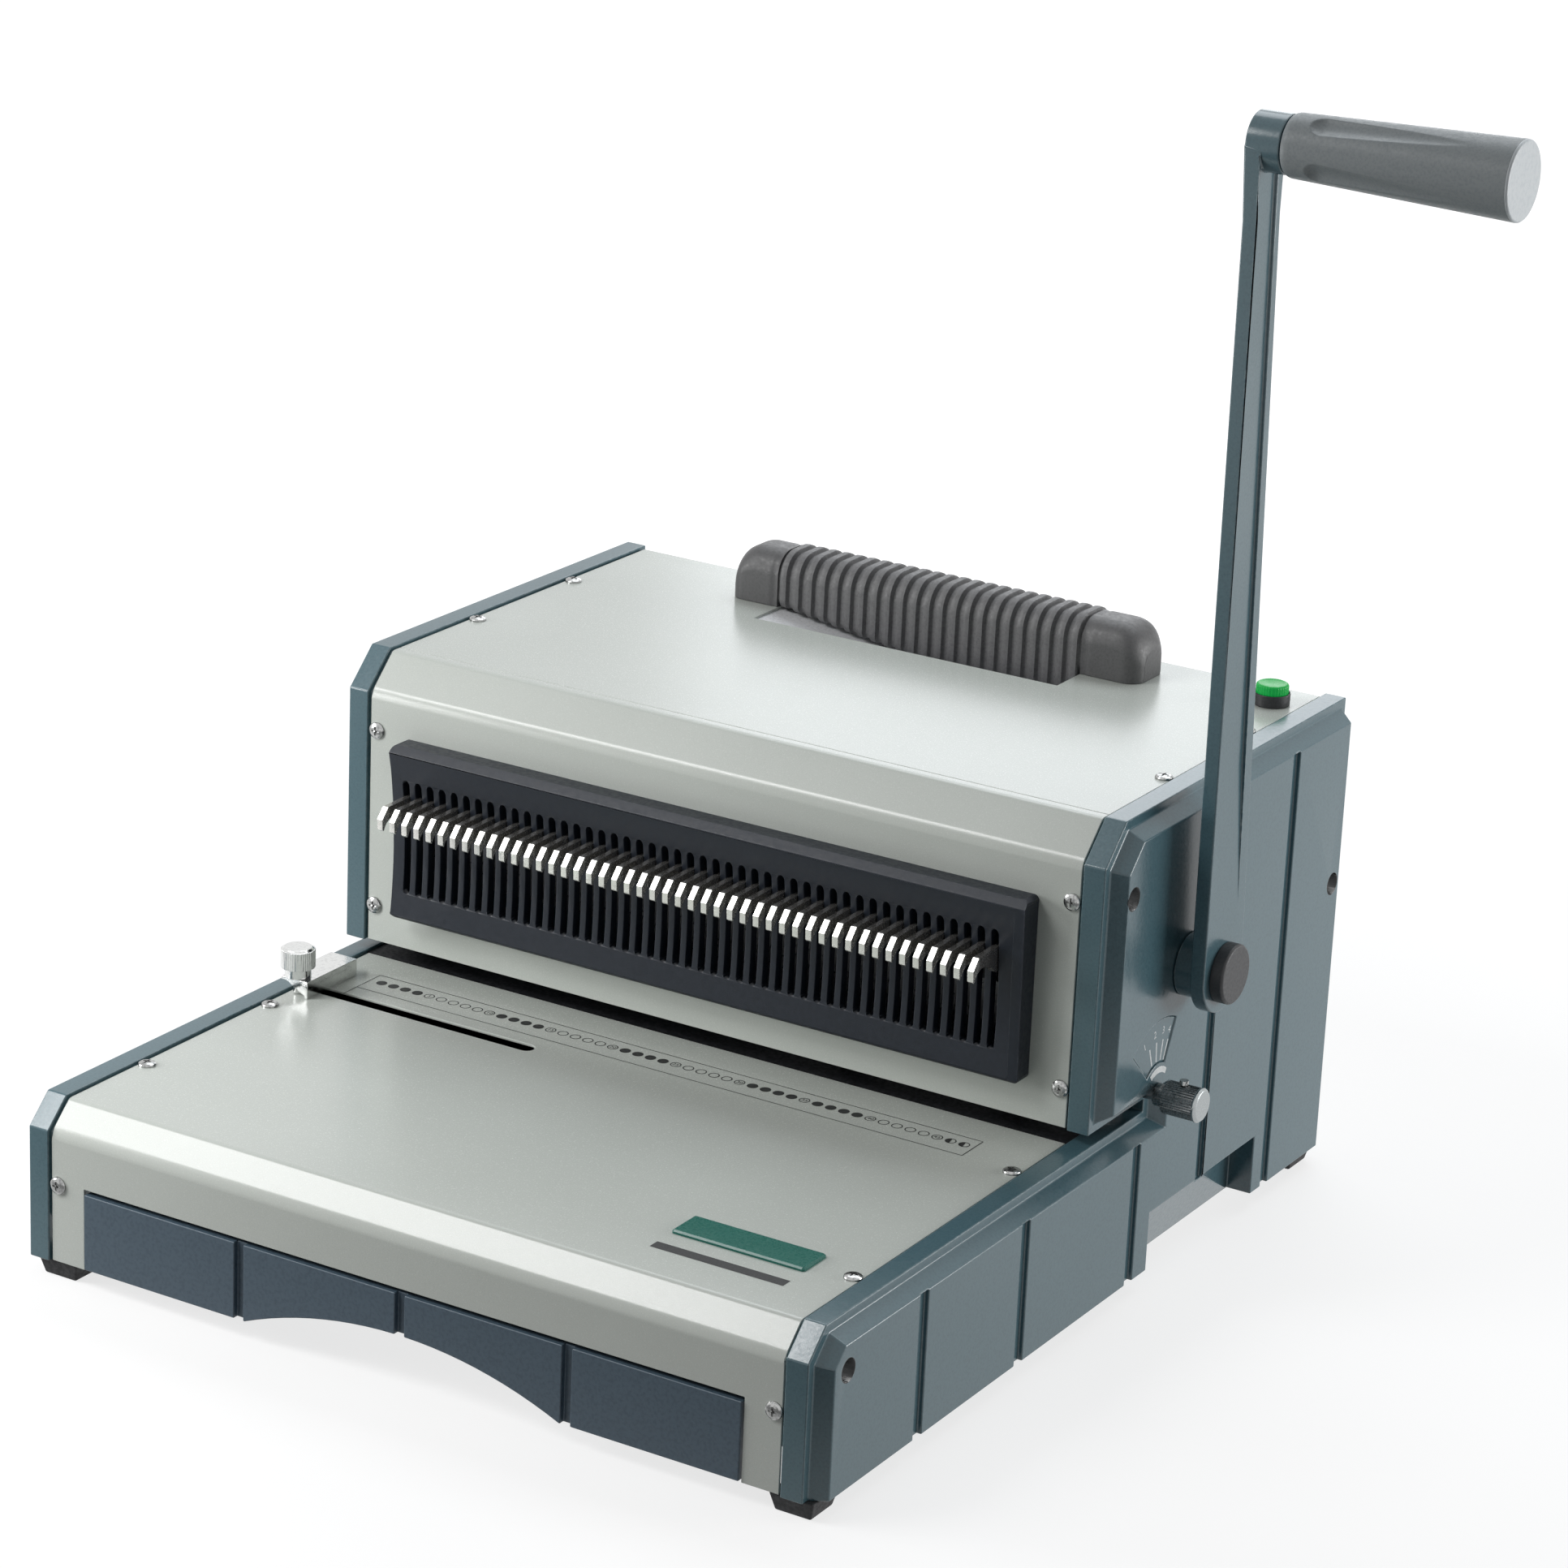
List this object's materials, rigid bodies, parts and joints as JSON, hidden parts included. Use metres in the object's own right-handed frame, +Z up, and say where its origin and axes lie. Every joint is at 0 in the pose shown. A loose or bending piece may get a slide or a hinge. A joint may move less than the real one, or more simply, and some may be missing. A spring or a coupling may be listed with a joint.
{
  "type": "binding machine",
  "caption": "Desk punch and binding machine: sheet-metal table and tower between cast sides, side lever driving a row of punches and comb hooks, chip drawer, carry handle.",
  "frame": {"origin": "middle of the whole machine's box, on the surface it stands on", "axes": "+X to the right, towards the lever, +Y to the back, +Z up"},
  "size_m": [0.5082, 0.4378, 0.5041],
  "materials": {
    "casting_paint": "fine-texture blue-grey paint",
    "cover_paint": "satin silver-grey paint",
    "bright_sheet": "bright sheet metal",
    "steel": "plain steel",
    "chrome": "bright nickel or chrome plate",
    "panel_plastic": "satin near-black moulding",
    "drawer_plastic": "satin slate-blue moulding",
    "rubber": "matt charcoal rubber",
    "black_plastic": "matt black",
    "green_lens": "clear green lens",
    "grip_plastic": "satin mid-grey moulding",
    "pale_plastic": "satin pale-grey moulding",
    "badge_green": "gloss green plate, bare",
    "bronze": "sintered bronze"
  },
  "bodies": {
    "frame": {"left_side_casting": "casting_paint", "right_side_casting": "casting_paint", "table_cover": "cover_paint", "front_cover": "cover_paint", "top_cover": "cover_paint", "rear_panel": "cover_paint", "base_pan": "steel", "feet": "rubber", "cover_screws": "chrome", "tie_rods": "steel", "tie_bolts": "black_plastic", "badge_plate": "badge_green", "depth_dial": "casting_paint", "comb_panel": "panel_plastic", "die_plate": "steel", "pin_guide_plate": "steel", "punch_guide_rods": "steel", "hook_guide_rods": "steel", "spring_bar": "steel", "return_springs": "steel", "shaft_bushes": "bronze", "drawer_runners": "steel", "handle_recess": "bright_sheet", "handle_caps": "rubber", "handle_sleeve": "rubber", "handle_strap": "steel", "button_bezel": "black_plastic", "button_nut": "black_plastic", "button_switch": "black_plastic"},
    "button": {"button_lens": "green_lens"},
    "lever": {"main_shaft": "steel", "shaft_collars": "steel", "punch_pinions": "steel", "hook_pinions": "steel", "lever_hub": "casting_paint", "lever_arm": "casting_paint", "lever_cap": "black_plastic", "lever_bolt": "steel", "grip_spindle": "steel"},
    "grip": {"lever_grip": "grip_plastic", "grip_end_cap": "pale_plastic"},
    "punch": {"punch_bar": "steel", "punch_racks": "steel", "punch_pins": "steel", "pin_clamp_bar": "steel"},
    "hooks": {"hook_bar": "steel", "hook_racks": "steel", "comb_hooks": "chrome"},
    "depth": {"depth_knob": "chrome", "pointer_screw": "chrome", "depth_shaft": "steel", "paper_stops": "steel"},
    "guide": {"edge_guide": "chrome", "guide_slider": "steel"},
    "guide_screw": {"guide_knob": "chrome"},
    "drawer": {"drawer_front": "drawer_plastic", "drawer_tray": "steel"}
  },
  "joints": [
    {"name": "lever_swing", "type": "hinge", "parent": "frame", "child": "lever", "pos_m": [0.1329, 0.0659, 0.1403], "axis": [1, 0, 0], "range_deg": [0, 85], "stiffness_Nm_per_rad": 2, "springref_deg": -17.19},
    {"name": "grip_spin", "type": "hinge", "parent": "lever", "child": "grip", "pos_m": [0.1571, 0.05375, 0.48809], "axis": [1, 0, 0], "continuous": true},
    {"name": "punch_slide", "type": "slide", "parent": "frame", "child": "punch", "axis": [0, 0, -1], "range_m": [0, 0.01568], "deforming": ["return_springs"]},
    {"name": "hook_slide", "type": "slide", "parent": "frame", "child": "hooks", "axis": [0, 0, -1], "range_m": [0, 0.02977]},
    {"name": "depth_turn", "type": "hinge", "parent": "frame", "child": "depth", "pos_m": [0.1329, 0.0449, 0.0888], "axis": [1, 0, 0], "range_deg": [-22, 22]},
    {"name": "guide_slide", "type": "slide", "parent": "frame", "child": "guide", "axis": [1, 0, 0], "range_m": [0, 0.1]},
    {"name": "guide_screw_turn", "type": "hinge", "parent": "guide", "child": "guide_screw", "pos_m": [-0.2318, -0.0568, 0.085], "axis": [0, 0, 1], "continuous": true},
    {"name": "drawer_slide", "type": "slide", "parent": "frame", "child": "drawer", "axis": [0, -1, 0], "range_m": [0, 0.19]},
    {"name": "button_press", "type": "slide", "parent": "frame", "child": "button", "axis": [0, 0, -1], "range_m": [0, 0.003], "stiffness_N_per_m": 500, "springref_m": -0.002}
  ],
  "couplings": [
    {"joint": "punch_slide", "follows": "lever_swing", "m_per_rad": 0.0105},
    {"joint": "hook_slide", "follows": "lever_swing", "m_per_rad": 0.02}
  ]
}
